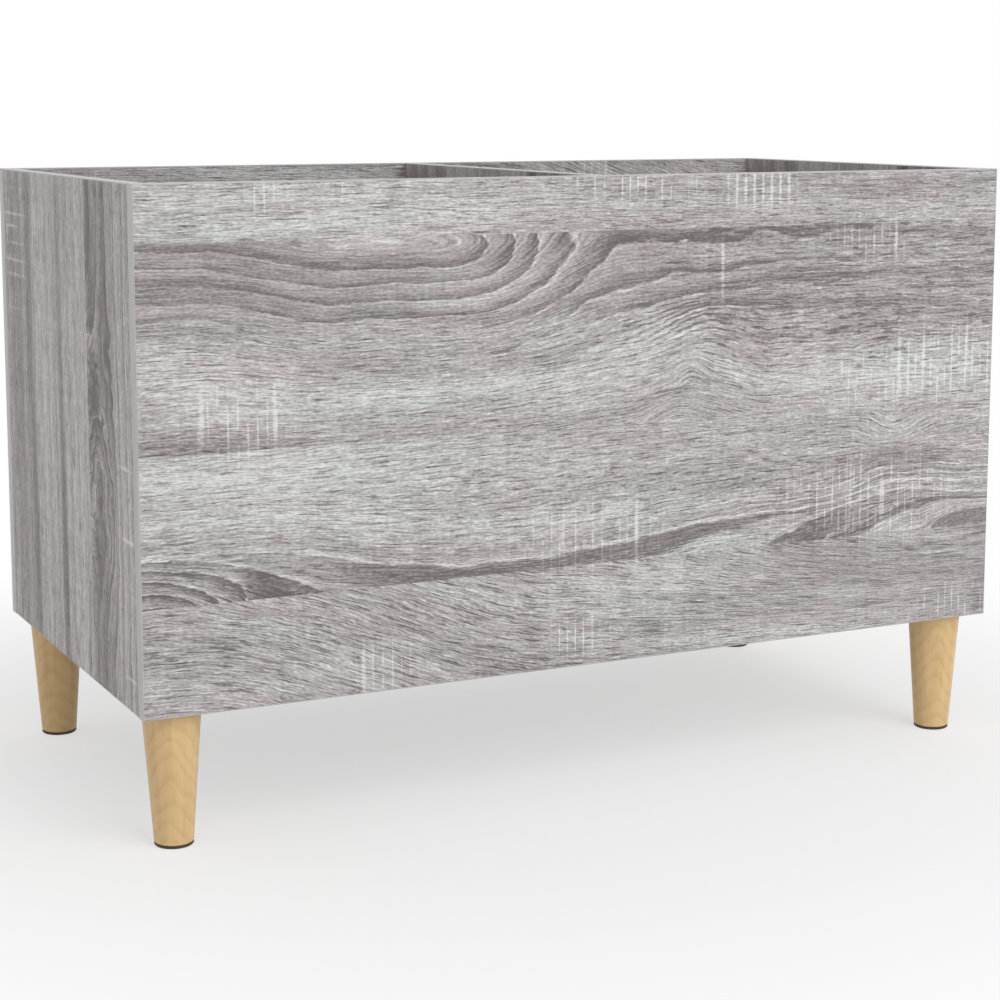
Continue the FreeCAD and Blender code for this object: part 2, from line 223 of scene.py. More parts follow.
def new_material(name):
    """A material with only its shader, and the place on the object as three wires in millimetres."""
    material = bpy.data.materials.new(name)
    material.use_nodes = True
    start = Wire(material.node_tree)
    place = start.node("ShaderNodeTexCoord", output="Object")
    place = start.node("ShaderNodeVectorMath", {"operation": "SCALE"}, {0: place, "Scale": 1 / MM})
    split = [start.node("ShaderNodeSeparateXYZ", None, {"Vector": place}, output=axis) for axis in "XYZ"]
    return material, split


def finish_material(material, colour, roughness, height, metallic=0.0, specular=0.5):
    """Wires a colour, a roughness and a height in millimetres into the shader, and gives the material."""
    shader = shader_of(material)
    bump = height.node("ShaderNodeBump", None, {"Height": height, "Strength": 1.0, "Distance": MM})
    for name, wire in {"Base Color": colour, "Roughness": roughness, "Normal": bump}.items():
        material.node_tree.links.new(wire.socket, shader.inputs[name])
    shader.inputs["Metallic"].default_value = metallic
    shader.inputs["Specular IOR Level"].default_value = specular
    return material


def dress(material, *names):
    """Gives pieces of the model their material."""
    for name in names:
        mesh = frame["nodes"][name].data
        mesh.materials.clear()
        mesh.materials.append(material)


# %% [markdown]
# ## The printed oak
#
# The boards are faced with paper that is printed like old sawn oak, washed grey, and laid in planks whose
# joints are sharp. An image would be the quick way to such a print. Here it is drawn with maths instead, so
# it stays sharp at any distance and needs no file.
#
# The one idea behind it is the grain height: a number for every point of the face that is the same all
# along one line of grain. Bending that number bends everything that hangs on it, so streaks, pores and
# rings all follow the same lines. Along a board the place is called u and across it v, both in millimetres,
# and v grows downwards. The tool for bending it at one place is a hill.

# %% Hills on a face
HILL_FOOT = 1.8


def hills(face, rows):
    """A sum of smooth hills, each given as (u, v, long, wide, height).

    A hill is a soft S that falls from its height at (u, v) to 0 at HILL_FOOT times its own widths. It is
    half as high at half that distance, about as a bell curve is, and takes only four nodes.
    """
    total = None
    for u, v, long, wide, height in rows:
        inputs = {0: face, 1: (1 / long, 1 / wide, 0), 2: (-u / long, -v / wide, 0)}
        away = face.node("ShaderNodeVectorMath", {"operation": "MULTIPLY_ADD"}, inputs)
        away = face.node("ShaderNodeVectorMath", {"operation": "LENGTH"}, {0: away}, output=1)
        inputs = {"Value": away, "From Min": HILL_FOOT, "From Max": 0.0, "To Max": height}
        one = away.node("ShaderNodeMapRange", {"interpolation_type": "SMOOTHSTEP"}, inputs)
        total = one if total is None else total + one
    return total


# %% [markdown]
# ## The front's four planks
#
# The front shows four planks, one above the other. Each has its own figure: the top one is nearly plain,
# the second is cut through the arches of a cathedral figure and has a knot's swirl below them, the third
# has a long dark streak and two lenses of dark late wood, and the lowest has its grain running slantwise.
#
# Each figure is a formula for the grain height, made mostly of v and soft steps. Where a step is taken from
# the height, the lines of grain sink by as much, and where it is added they rise. smooth(u, 60, 250) * 26,
# for one, is a step of 26 mm that lies between 60 mm and 250 mm from the left end.

# %% Planks of the front
PLANK_JOINTS = (42.0, 191.0, 300.0)


def front_planks(v):
    """Four masks, each 1 on its own plank of the front and 0 on the others."""
    below = [v > joint for joint in PLANK_JOINTS]
    return 1 - below[0], below[0] - below[1], below[1] - below[2], below[2]


def by_plank(planks, values):
    """The value that belongs to a point's own plank: each value times its plank's mask, added up."""
    return sum(value * mask for value, mask in zip(values, planks))


# %% [markdown]
# ### Arches on the second plank
#
# A flat cut through a trunk shows the tree's rings as arches, one inside the other. They could be drawn one
# by one, but a single formula gives them all, and evenly: the length of two numbers, one the distance from
# the arches' middle line, the other a step that rises from their feet to their tips. Where the step is 0
# the lines run level. Where it rises, a line comes nearer to the middle to keep its length, and closes.

# %% Grain of the arches
ARCH_LINE, ARCH_REACH = 48.5, 64.0
ARCH_SINK = 24
ARCH_KNOT = [(468, 114, 36, 18, 6), (434, 194, 20, 15, 18), (448, 150, 14, 11, 9)]


def arch_grain(face, u, v):
    """The length of (distance from the middle line, step from feet to tips), bent further.

    The middle line lies 18 mm higher at the left end and 7 mm higher on the right. From the tips on, a part
    of the distance is added, because the length alone hardly changes there. Below the arches the lines sink
    in two steps, and three hills bend them round a knot.
    """
    off_line = v - ARCH_LINE + smooth(u, 150, 40) * smooth(v, 190, 110) * 18
    off_line = off_line + smooth(u, 430, 560) * smooth(v, 130, 60) * 7
    tips = smooth(u, 215, 385) * ARCH_REACH
    height = length(off_line, tips) + off_line * smooth(u, 315, 470) * 0.3 + ARCH_LINE
    height = height - smooth(v, 82, 180) * smooth(u, 300, 420) * ARCH_SINK
    height = height - smooth(v, 98, 188) * smooth(u, 448, 520) * ARCH_SINK
    return height + hills(face, ARCH_KNOT)


# %% [markdown]
# ### Streak and lenses on the third plank
#
# The lines of the third plank sink on the left and rise again to the right. At its lower joint two lenses
# of dark wood cut into it, one at each end. Their upper edge is sharp, because another layer of the tree
# begins there, so inside a lens the height is counted afresh from that edge.

# %% Grain of the streak and the lenses
LENS_LINE, LENS_SPLIT = 265.0, 300.0
STREAK_KNOT = [(646, 213, 25, 16, -15), (652, 254, 44, 20, 8)]


def streak_grain(face, u, v):
    """The height v, bent by steps.

    In the lower part its lines sink by one step and rise again by two, in the upper part they rise by one,
    and two hills bend them round a knot.
    """
    sinking = smooth(u, 60, 250) * 26 - smooth(u, 300, 540) * 17 - smooth(u, 540, 700) * 9
    rising = smooth(u, 60, 330) * smooth(v, 265, 196) * 9
    return v - sinking * smooth(v, 196, 285) + rising + hills(face, STREAK_KNOT)


def lens_edge(u):
    """The v of the lenses' upper edge: a parabola on the left and a root curve on the right.

    The parabola falls 34 mm over 138 mm. The other curve leaves the joint at u = 522 and rises 36 mm within
    133 mm, fast at first, and falls 10 mm again at the end. LENS_SPLIT is a u between the two lenses.
    """
    left = u * u * (34 / 138 ** 2) + LENS_LINE
    right = PLANK_JOINTS[-1] - clamp((u - 522) * (1 / 133)) ** 0.6 * 36 + smooth(u, 655, 742) * 10
    return left.maths("MINIMUM", left, right)


def lens_grain(u, below):
    """The height inside a lens, counted from its edge, more slowly towards the lens's tip."""
    speed = smooth(u, 110, 5) + (u > LENS_SPLIT) * 0.45
    speed = speed + smooth(u, 600, 690) * 0.55 + smooth(u, 670, 735) * 2.2
    return below * speed + LENS_LINE


# %% [markdown]
# ### The whole front
#
# The top plank's lines are level, and the lowest plank's sink to the right in two long steps.

# %% Grain of the front
def front_grain(face, u, v, planks):
    """The grain height on the front: each plank's own, and that of the lenses where v is below their edge."""
    slanting = v - smooth(u, 15, 350) * 90 - smooth(u, 280, 745) * 84 * smooth(v, 410, 285)
    grain = by_plank(planks, (v, arch_grain(face, u, v), streak_grain(face, u, v), slanting))
    below = v - lens_edge(u)
    return grain + (below > 0) * planks[2] * (lens_grain(u, below) - grain)


# %% [markdown]
# ## Streaks, pores and saw marks
#
# On top of the grain height lie the things that the eye reads as oak: broad soft streaks, fine fibres, dark
# pores a few millimetres long, pale flecks between them, and pale marks across the grain, left by a saw.
# They are all noise, stretched along u and squeezed across the grain height. The factor on a coordinate is
# one over the size of a spot: u * 0.004 and grain * 0.06 make streaks of about 250 mm by 17 mm.

# %% Texture that follows the grain
def oak_texture(u, v, grain, calm):
    """The light and dark of the print around 0, and the depth of its pores, from 0 where there is none.

    Where the grain height hardly changes, its noise would swell into blobs, so the fine parts read a
    height that is two thirds grain and one third v. Pores and flecks fade where calm goes towards 1. The
    slow noise called crowd gathers the short pores at some places, the long strokes and flecks at others.
    """
    fine = grain * 0.67 + v * 0.33
    broad = cloud(u * 0.004, grain * 0.06)
    streaks = cloud(u * 0.012, fine * 0.5, roughness=0.65)
    fibres = cloud(u * 0.04, fine, detail=1.0, roughness=0.6)
    speckle = cloud(u * 0.30, v * 0.62, detail=0.0)
    crowd = cloud(u * 0.014, grain * 0.16, detail=0.0) * 0.18
    pores = smooth(cloud(u * 0.07, fine, roughness=0.6) + crowd, 0.08, 0.18)
    strokes = smooth(cloud(u * 0.026, fine, detail=1.0) - crowd, 0.13, 0.20)
    pores = (pores * 0.9 + strokes * 0.9) * (1 - calm)
    flecks = smooth(cloud(u * 0.09, fine * 1.1, detail=1.0) - crowd, 0.05, 0.22)
    tone = broad * 0.15 + streaks * 0.20 + fibres * 0.27 + speckle * 0.16
    tone = tone - pores * 0.19 + flecks * (1 - calm) * 0.10
    return tone, pores


# %% Marks of the saw
COMB_PITCH = 7.4
TEETH_START, TEETH_END, TEETH_PITCH = 481, 545, 8.1


def saw_comb(face, u, v, rows):
    """Thin pale lines across the grain, broken by noise, on hills of (u, v, long, wide, height)."""
    wavy = u + cloud(u * 0.03, 0.0, detail=1.0) * 5
    lines = smooth(zigzag(wavy, COMB_PITCH / 2), 1.1, 0.2)
    broken = smooth(cloud(u * 0.16, v * 0.035, detail=1.0), -0.14, 0.10)
    return lines * broken * hills(face, rows)


def saw_teeth(u, v):
    """A row of short pale lines at an even pitch, which hang from the rim."""
    teeth = smooth(zigzag(u - TEETH_START, TEETH_PITCH / 2), 1.9, 0.3)
    return teeth * between(u, TEETH_START, TEETH_END, 4) * smooth(v, 36, 14)


# %% [markdown]
# ## Tone into colour
#
# The print has only a few inks. Its dark places lean to a pinkish brown and its light ones to a cool, very
# slightly green grey, so one number for light and dark is turned into colour by two ramps, and a slow noise
# chooses between them.

# %% Two ramps
WARM_INKS = [(0.41, (108, 102, 103)), (0.52, (136, 128, 129)), (0.63, (166, 158, 158)),
             (0.735, (193, 187, 186)), (0.88, (229, 227, 226))]
COOL_INKS = [(0.41, (98, 97, 97)), (0.52, (128, 127, 127)), (0.63, (158, 158, 157)),
             (0.735, (188, 189, 188)), (0.88, (228, 230, 228))]
MIDDLE_TONE = 0.70


def inks(tone, warmth):
    """The colour of a tone from 0, black, to 1, white, between the cool and the warm inks."""
    return mix(clamp(warmth), ramp(tone, COOL_INKS), ramp(tone, WARM_INKS))


# %% [markdown]
# ## One print, many boards
#
# A print is drawn once, in a node group that turns u and v into a colour and the depth of the pores. Every
# board that carries it is then a small material of its own, which only says where it lies on the print.

# %% Print and board
def drawn_print(name, draw):
    """A node group from u and v to the colour and the pores, drawn by a function of two wires."""
    tree = bpy.data.node_groups.new(name, "ShaderNodeTree")
    for socket in ("u", "v"):
        tree.interface.new_socket(socket, in_out="INPUT", socket_type="NodeSocketFloat")
    tree.interface.new_socket("colour", in_out="OUTPUT", socket_type="NodeSocketColor")
    tree.interface.new_socket("pores", in_out="OUTPUT", socket_type="NodeSocketFloat")
    entry = Wire(tree).node("NodeGroupInput").socket.node
    colour, pores = draw(*[Wire(tree, entry.outputs[socket]) for socket in ("u", "v")])
    Wire(tree).node("NodeGroupOutput", None, {"colour": colour, "pores": pores}, output=None)
    print(name, "is drawn with", len(tree.nodes), "nodes")
    return tree


def printed_board(name, tree, place):
    """A board with this print, at (u, v) worked out by the function place: matt, faintly embossed."""
    material, (x, y, z) = new_material(name)
    u, v = place(x, y, z)
    group = u.node("ShaderNodeGroup", {"node_tree": tree}, {"u": u, "v": v}).socket.node
    colour, pores = [Wire(u.tree, group.outputs[socket]) for socket in ("colour", "pores")]
    relief = cloud(u * 0.07, v * 1.1, detail=1.0)
    return finish_material(material, colour, pores * 0.12 + 0.5, relief * 0.12, specular=0.3)


# %% [markdown]
# ## Light and dark in given places
#
# The noise alone would give an even board. What gives the real one its face are single large things: pale
# and dark clouds, the late wood, and the places where the saw bit. Clouds and marks are placed one by one,
# as hills of (u, v, long, wide, height) with light as their height.

# %% Clouds of the front, plank by plank
FRONT_TONES = (0.705, 0.70, 0.72, 0.715)
FRONT_CLOUDS = (
    [(110, 20, 190, 40, 0.06), (640, 12, 100, 14, -0.05), (420, 18, 60, 20, -0.03)],
    [(60, 70, 200, 26, -0.06), (80, 47, 50, 7, -0.07), (165, 43, 50, 9, 0.08), (190, 60, 90, 8, -0.06),
     (262, 82, 48, 16, 0.05), (40, 132, 70, 30, 0.06), (410, 125, 60, 24, 0.06), (410, 50, 70, 11, -0.04),
     (600, 50, 200, 7, -0.09), (600, 90, 170, 30, -0.07), (700, 125, 90, 14, -0.06),
     (742, 66, 34, 24, -0.05), (210, 160, 210, 16, 0.07), (650, 168, 120, 20, 0.09),
     (40, 188, 70, 10, -0.10)],
    [(110, 215, 210, 36, 0.06), (430, 235, 90, 18, -0.04), (640, 240, 60, 10, -0.08),
     (350, 260, 160, 8, 0.04), (480, 296, 34, 8, 0.06), (647, 212, 12, 8, 0.05), (670, 236, 40, 8, -0.05)],
    [(420, 318, 80, 16, 0.07), (640, 325, 120, 20, -0.04), (90, 362, 110, 16, 0.05),
     (340, 378, 90, 8, -0.05), (510, 371, 110, 9, 0.05), (580, 336, 120, 5, -0.05),
     (742, 356, 12, 24, -0.07)],
)

# %% Saw marks of the front
FRONT_COMBS = [
    (400, 6, 56, 13, 0.24), (96, 10, 14, 12, 0.20), (154, 7, 5, 9, 0.14), (75, 172, 34, 24, 0.22),
    (612, 55, 42, 16, 0.22), (620, 170, 42, 20, 0.18), (700, 164, 52, 28, 0.26), (620, 270, 78, 34, 0.26),
    (352, 280, 64, 24, 0.18), (350, 356, 26, 14, 0.26), (184, 362, 26, 18, 0.18), (706, 366, 38, 15, 0.24),
]
FRONT_CUTS = [
    (477, 72, 1.4, 26, 0.24), (643, 56, 1.4, 16, 0.24), (47, 168, 1.9, 20, 0.22),
    (102, 168, 1.4, 22, 0.20), (649, 158, 1.4, 24, 0.22), (674, 155, 1.4, 20, 0.18),
    (718, 146, 1.4, 18, 0.18), (401, 280, 1.4, 22, 0.22), (336, 275, 1.4, 24, 0.14),
    (634, 272, 1.4, 26, 0.20), (603, 262, 1.4, 28, 0.16), (169, 362, 1.5, 18, 0.18),
]
clouds_in_all = sum(len(rows) for rows in FRONT_CLOUDS)
print("the front has", clouds_in_all, "clouds,", len(FRONT_COMBS), "combs and", len(FRONT_CUTS), "cuts")

# %% [markdown]
# ## Late wood
#
# A tree's ring starts pale and ends dark, with a sharp edge to the next one. That dark late wood draws the
# arches, the streak and the lenses. It is light and dark as a function of the grain height, so it follows
# the lines by itself, and a little noise on the height makes its edges ragged.

# %% Rings, and the arches
ARCH_RINGS, STROKE_REACH = 12.5, 1.4
KNOT_STROKES = [(446, 114, 54, 15, 0.26), (430, 183, 30, 10, 0.24)]


def late_wood(grain, pitch):
    """Rings: each darkens slowly as the grain height grows and ends at a pale line."""
    ring = ring_place(grain, pitch)
    dark = ring * ring * smooth(ring, 1.0, 0.9)
    pale = smooth(ring, 0.90, 0.98) + smooth(ring, 0.10, 0.0)
    return pale * 0.08 - dark * 0.24


def arch_wood(face, u, v, grain, noise):
    """Rings from the innermost arch outwards, and fine strokes round the knot.

    The rings grow weaker towards both ends of the plank, and end about 107 mm below the rim.
    """
    ragged = grain + noise
    rings = late_wood(ragged - 2.5, ARCH_RINGS) * smooth(ragged, 53, 60) * smooth(v, 116, 98)
    rings = rings * smooth(u, 800, 400) * (smooth(u, 40, 260) * 0.4 + 0.6)
    strokes = smooth(zigzag(grain + noise * 0.3, STROKE_REACH), 0.8, 0.2) - 0.3
    return rings - strokes * hills(face, KNOT_STROKES)


# %% The streak and the lenses
ARC_LINE, ARC_REACH = 251, 2.9
LENS_RINGS = 9.3


def streak_wood(u, ragged):
    """Outside the lenses: the streak, a pale line and a dim band above it, and pale arcs further right."""
    streak = between(ragged, LENS_LINE - 0.5, 282 - smooth(u, 400, 540) * 15, 1.5) * smooth(u, 640, 540)
    streak = streak * (smooth(u, 90, 190) * 0.16 + 0.03)
    line = between(ragged, 261.5, 264, 1.0) * 0.07
    band = between(ragged, 254, 261, 2.0) * smooth(u, 60, 200) * 0.04
    arcs = smooth(zigzag(ragged - ARC_LINE, ARC_REACH), 1.0, 0.1)
    arcs = (arcs * 0.14 - 0.04) * between(ragged, 248, 265, 2.0) * smooth(u, 420, 560)
    return line - band + arcs - streak


def lens_wood(u, depth):
    """Inside the lenses: rings that run into solid dark in the left one, dark bands in the right one."""
    rings = late_wood(5 - depth, LENS_RINGS) * 1.2 - 0.04
    left = rings - smooth(u, 68, 96) * (rings + 0.25)
    right = between(depth, 17.6, 19.0, 0.5) * 0.06 - between(depth, 10.2, 15, 0.8) * 0.19
    right = right - between(depth, 0.6, 9.2, 0.6) * (smooth(u, 640, 540) * 0.13 + 0.07)
    right = right - smooth(depth, 42, 44) * 0.16
    return left + (right - left) * (u > LENS_SPLIT)


# %% Late wood of the front
def front_figure(face, u, v, grain, planks):
    """The late wood of the second and the third plank, with a pale rim along the lenses' edge."""
    noise = cloud(u * 0.02, grain * 0.05, detail=3.0) * 6 + cloud(u * 0.2, grain, detail=1.0) * 1.2
    ragged = grain + noise
    edge = lens_edge(u)
    below = v - edge + noise * 0.6
    rim = between(below, -2.2, 0, 0.4) * (edge < PLANK_JOINTS[-1] - 2) * 0.07
    outside = streak_wood(u, ragged) + rim
    inside = lens_wood(u, ragged - LENS_LINE)
    third = outside + (inside - outside) * smooth(below, 0.0, 0.6)
    return arch_wood(face, u, v, grain, noise) * planks[1] + third * planks[2]


# %% [markdown]
# ## The front's print
#
# Everything comes together here. Each plank reads the noise at another place, so that no streak runs over a
# joint. The arches are kept calm, with weaker pores, so that their rings show. The lowest plank gets long
# pores, and the second one soft bands on its right. Darker places are made warmer.

# %% Draw the front's print
PLANK_SHIFTS = (211, 1700, 4300, 7100)
FRONT_GAIN, FRONT_LIFT = 0.99, -0.001
MARK_STRENGTH = 0.78


def draw_front(u, v):
    """The colour and the pores of the front's print."""
    face = u.node("ShaderNodeCombineXYZ", None, {0: u, 1: v})
    planks = front_planks(v)
    grain = front_grain(face, u, v, planks) + cloud(u * 0.012, v * 0.04, detail=1.0) * 5
    grain = grain + cloud(u * 0.06, v * 0.18) * 2.2
    shifted = u + by_plank(planks, PLANK_SHIFTS)
    calm = smooth(v, 108, 90) * smooth(u, 480, 380) * planks[1] * 0.6
    level = v + planks[3] * (grain - v)
    tone, pores = oak_texture(shifted, level, grain, calm)
    clouds = by_plank(planks, [hills(face, rows) + base for rows, base in zip(FRONT_CLOUDS, FRONT_TONES)])
    tone = tone + clouds + front_figure(face, u, v, grain, planks)
    long_pores = smooth(cloud(shifted * 0.028, grain * 0.75, detail=1.0), 0.13, 0.18) * planks[3]
    bands = cloud(u * 0.004, v * 0.19, detail=1.0) * smooth(u, 380, 520) * smooth(v, 150, 120) * planks[1]
    tone = (tone - long_pores * 0.21 + bands * 0.24) * FRONT_GAIN + FRONT_LIFT
    warmth = (MIDDLE_TONE - tone) * 2 + (MIDDLE_TONE - clouds) * 2.5
    warmth = warmth + cloud(u * 0.008, grain * 0.04, detail=1.0) * 1.8 + 0.62
    marks = saw_comb(face, u, v, FRONT_COMBS) + hills(face, FRONT_CUTS) + saw_teeth(u, v) * 0.20
    return inks(tone + marks * MARK_STRENGTH, warmth), pores


front_print = drawn_print("front_print", draw_front)

# %% [markdown]
# ## The print on the boards that lie along the cabinet
#
# A print repeats, so the back, the floors and the bottom carry the same one, turned round on the inside of
# a board so that no face mirrors another. Each board only says where on the print one of its points lies.

# %% Boards along the cabinet
WIDTH_MM, HEIGHT_MM = 2 * HALF_WIDTH / MM, BOX_HEIGHT / MM
LEFT_MM, FRONT_MM, TOP_MM = -HALF_WIDTH / MM, -HALF_DEPTH / MM, TOP / MM


def turned(value, span, where):
    """The value counted from the other end of its span where the mask is 1."""
    return value + where * (span - value - value)


def place_on_front(x, y, z):
    """From the upper left corner outside, and from the lower left corner inside."""
    inside = y > middle("front_panel")[1] / MM
    return x - LEFT_MM, turned(TOP_MM - z, HEIGHT_MM, inside)


def place_on_back(x, y, z):
    """Upside down, and from the other end inside."""
    inside = middle("back_panel")[1] / MM > y
    return turned(x - LEFT_MM, WIDTH_MM, inside), HEIGHT_MM - (TOP_MM - z)


def place_on_level(x, y, z):
    """From the front right corner, as a plan."""
    return WIDTH_MM - (x - LEFT_MM), y - FRONT_MM


for name, place, boards in (
    ("front_decor", place_on_front, ["front_panel"]),
    ("back_decor", place_on_back, ["back_panel"]),
    ("level_decor", place_on_level, ["bottom_panel", "left_record_floor", "right_record_floor"]),
):
    dress(printed_board(name, front_print, place), *boards)
    print(name, "dresses", boards)

# %% [markdown]
# ## The sides
#
# On the sides the print stands upright: u now runs down from the rim and v from the back to the front. Two
# planks meet there. The wider one is calm, with a few long stripes. The narrower one has the flames of a
# log that was cut near a branch, which are arches again, bent by a strong slow noise.

# %% Light and dark of the sides
SIDE_TONES = (0.735, 0.70)
SIDE_CLOUDS = (
    [(190, 48, 420, 24, -0.09), (120, 89, 420, 9, -0.17), (320, 96, 120, 8, -0.10),
     (190, 135, 400, 30, 0.05), (310, 181, 130, 8, -0.23), (80, 178, 120, 6, -0.10),
     (190, 224, 400, 24, 0.06), (30, 205, 50, 14, -0.06)],
    [(45, 269, 62, 10, -0.22), (165, 276, 24, 16, -0.24), (60, 303, 110, 12, -0.12),
     (190, 350, 420, 16, 0.08), (330, 286, 100, 18, -0.10), (230, 330, 300, 4, 0.10)],
)
SIDE_CUTS = [
    (36, 46, 1.2, 34, 0.16), (46, 36, 1.2, 20, 0.20), (60, 50, 1.2, 28, 0.12), (74, 44, 1.2, 30, 0.16),
    (86, 50, 1.4, 26, 0.14), (114, 40, 1.2, 20, 0.08), (203, 348, 1.4, 12, 0.22),
    (255, 355, 1.4, 14, 0.20), (356, 356, 1.4, 12, 0.18),
]
print("a side has", sum(len(rows) for rows in SIDE_CLOUDS), "clouds and", len(SIDE_CUTS), "cuts")

# %% Figure of the sides
SIDE_JOINT, SIDE_SHIFT = 257.0, 900
FLAME_LINE, FLAME_REACH = 282.0, 42
SIDE_RINGS, FLAME_RINGS = 21, 9.5
SIDE_GAIN, SIDE_LIFT = 0.95, 0.032


def side_grain(u, v, flames):
    """The height v with two waves of noise, and in the flames the length that closes lines as arches."""
    grain = v + cloud(u * 0.006, v * 0.02, detail=1.0) * 12 + cloud(u * 0.05, v * 0.12) * 2.5
    arches = length(v - FLAME_LINE, smooth(u, 300, 120) * FLAME_REACH) + SIDE_JOINT
    return grain + flames * (arches - v + cloud(u * 0.026, v * 0.024) * 26)


def draw_side(u, v):
    """The colour and the pores of the sides' print."""
    face = u.node("ShaderNodeCombineXYZ", None, {0: u, 1: v})
    narrow = v > SIDE_JOINT
    flames = narrow * between(u, 90, 300, 60) * smooth(v, 345, 315)
    grain = side_grain(u, v, flames)
    ragged = grain + cloud(u * 0.12, grain * 0.2, detail=1.0) * 3
    tone, pores = oak_texture(u + narrow * SIDE_SHIFT, v, grain, flames * 0.5)
    wide, slim = [hills(face, rows) + base for rows, base in zip(SIDE_CLOUDS, SIDE_TONES)]
    tone = tone + wide + (slim - wide) * narrow + late_wood(ragged, SIDE_RINGS) * (narrow * 0.35 + 0.35)
    tone = (tone + late_wood(ragged, FLAME_RINGS) * flames) * SIDE_GAIN + SIDE_LIFT
    warmth = (MIDDLE_TONE - tone) * 3 + cloud(u * 0.01, grain * 0.05, detail=1.0) * 1.3 + 1.7
    return inks(tone + hills(face, SIDE_CUTS), warmth), pores


side_print = drawn_print("side_print", draw_side)

# %% Boards that stand across
def place_on_side(board):
    """From the upper back corner where a face looks left, and from the lower one where it looks right."""
    centre = middle(board)[0] / MM

    def place(x, y, z):
        return turned(TOP_MM - z, HEIGHT_MM, x > centre), -FRONT_MM - y
    return place


for board in ("left_side_panel", "right_side_panel", "centre_divider"):
    name = board.replace("panel", "decor") if "panel" in board else board + "_decor"
    dress(printed_board(name, side_print, place_on_side(board)), board)
    print(name, "dresses", board)

# %% [markdown]
# ## Edging
#
# The cut edges of the boards are covered by thin plastic bands, a little paler than the print, with a
# satin face and fine embossed lines along their length. Noise that is stretched along the band gives both.

# %% Edging bands
BAND_ALONG, BAND_ACROSS = 0.03, 1.3
BAND_TONE = 0.735


def edging(name, *stretch):
    """A pale grey band whose print and embossing run along the axis with the smaller factor."""
    material, place = new_material(name)
    fine = [part * factor for part, factor in zip(place, stretch)]
    lines = cloud(*fine, detail=3.0, roughness=0.7)
    slow = cloud(*[part * 0.15 for part in fine])
    tone = lines * 0.22 + slow * 0.16 + BAND_TONE
    return finish_material(material, inks(tone, slow * 2 + 0.5), lines * 0.2 + 0.38, lines * 0.03)


RIM_BANDS = ["front_panel_rim_bands", "back_panel_rim_bands"]
END_BANDS = ["front_panel_end_bands", "back_panel_end_bands"]
SIDE_BANDS = ["left_side_rim_bands", "right_side_rim_bands", "divider_rim_band"]
dress(edging("edging_along", BAND_ALONG, BAND_ACROSS, BAND_ACROSS), *RIM_BANDS)
dress(edging("edging_upright", BAND_ACROSS, BAND_ACROSS, BAND_ALONG), *END_BANDS)
dress(edging("edging_across", BAND_ACROSS, BAND_ALONG, BAND_ACROSS), *SIDE_BANDS)
print(len(RIM_BANDS + END_BANDS + SIDE_BANDS), "bands are dressed")

# %% [markdown]
# ## Turned legs
#
# The legs are turned from one piece of pale wood and oiled. A turned taper cuts through the tree's rings
# at a slant, and that draws soft arches, one above the other: a ring is a place where the distance from
# the leg's middle plane and a part of the height add up to the same. The middle plane runs towards the
# front left, and is the same on all four legs.

# %% Leg wood
LEG_X, LEG_Y = [abs(part) / MM for part in frame["record"]["mounts"][0]["pos_m"][:2]]
LEG_RINGS, LEG_ROUNDING = 8.0, 50
LEG_INKS = [(0.30, (197, 158, 109)), (0.50, (222, 186, 132)), (0.70, (236, 203, 149))]


def leg_wood(name):
    """Rings on the sum of the distance from the middle plane, half the height and a slow noise.

    The distance is rounded off near the plane, as the root of its square and LEG_ROUNDING. A number of each
    leg's own shifts its rings. Long soft stripes and short fine pores lie over them.
    """
    material, (x, y, z) = new_material(name)
    right, back = x > 0, y > 0
    own = right * 3.7 + back * 5.3
    bend = cloud(x * 0.05, y * 0.05, z * 0.03 + own, detail=1.0)
    aside = (x - right * (2 * LEG_X) + LEG_X) * 0.9 - (y - back * (2 * LEG_Y) + LEG_Y) * 0.44
    height = (aside * aside + LEG_ROUNDING) ** 0.5 + z * 0.5 + bend * 14 + own
    ring = ring_place(height, LEG_RINGS)
    arch = smooth(ring, 0.7, 0.15) * smooth(ring, 0.0, 0.12)
    stripes = cloud(x * 0.16, y * 0.16, z * 0.008 + own, detail=3.0)
    fibres = cloud(x * 0.9, y * 0.9, z * 0.05, roughness=0.6)
    pores = smooth(cloud(x * 1.6, y * 1.6, z * 0.22, detail=1.0), 0.10, 0.25)
    tone = 0.58 - arch * 0.08 + stripes * 0.40 + fibres * 0.12 - pores * 0.05
    return finish_material(material, ramp(tone, LEG_INKS), fibres * 0.25 + 0.42, fibres * 0.03 - pores * 0.04)


dress(leg_wood("leg_wood"), "front_legs", "back_legs")
print("a leg's rings are", LEG_RINGS, "mm apart, and each leg stands at", (LEG_X, LEG_Y), "mm")

# %% [markdown]
# ## Small parts
#
# Under each leg sits a moulded glide, and inside the box are the parts that hold it together. They are out
# of sight once the cabinet is built, but they get their own finish all the same: the fine grain of moulded
# nylon, the layers of plywood, planed pine and zinc.

# %% Glides
def moulded_nylon(name):
    """Nearly black brown, with the fine spark-worn grain of its mould."""
    material, (x, y, z) = new_material(name)
    grain = cloud(x * 2.0, y * 2.0, z * 2.0, detail=3.0, roughness=0.7)
    slow = cloud(x * 0.1, y * 0.1, z * 0.1)
    colour = mix(clamp(grain + slow * 2 + 0.5), shade(50, 41, 33), shade(72, 61, 51))
    return finish_material(material, colour, grain * 0.3 + 0.5, grain * 0.05)


dress(moulded_nylon("glide_nylon"), "front_leg_glides", "back_leg_glides")

# %% Hidden wood and zinc
PLY_LAYER, PINE_RINGS = 0.8, 3.5


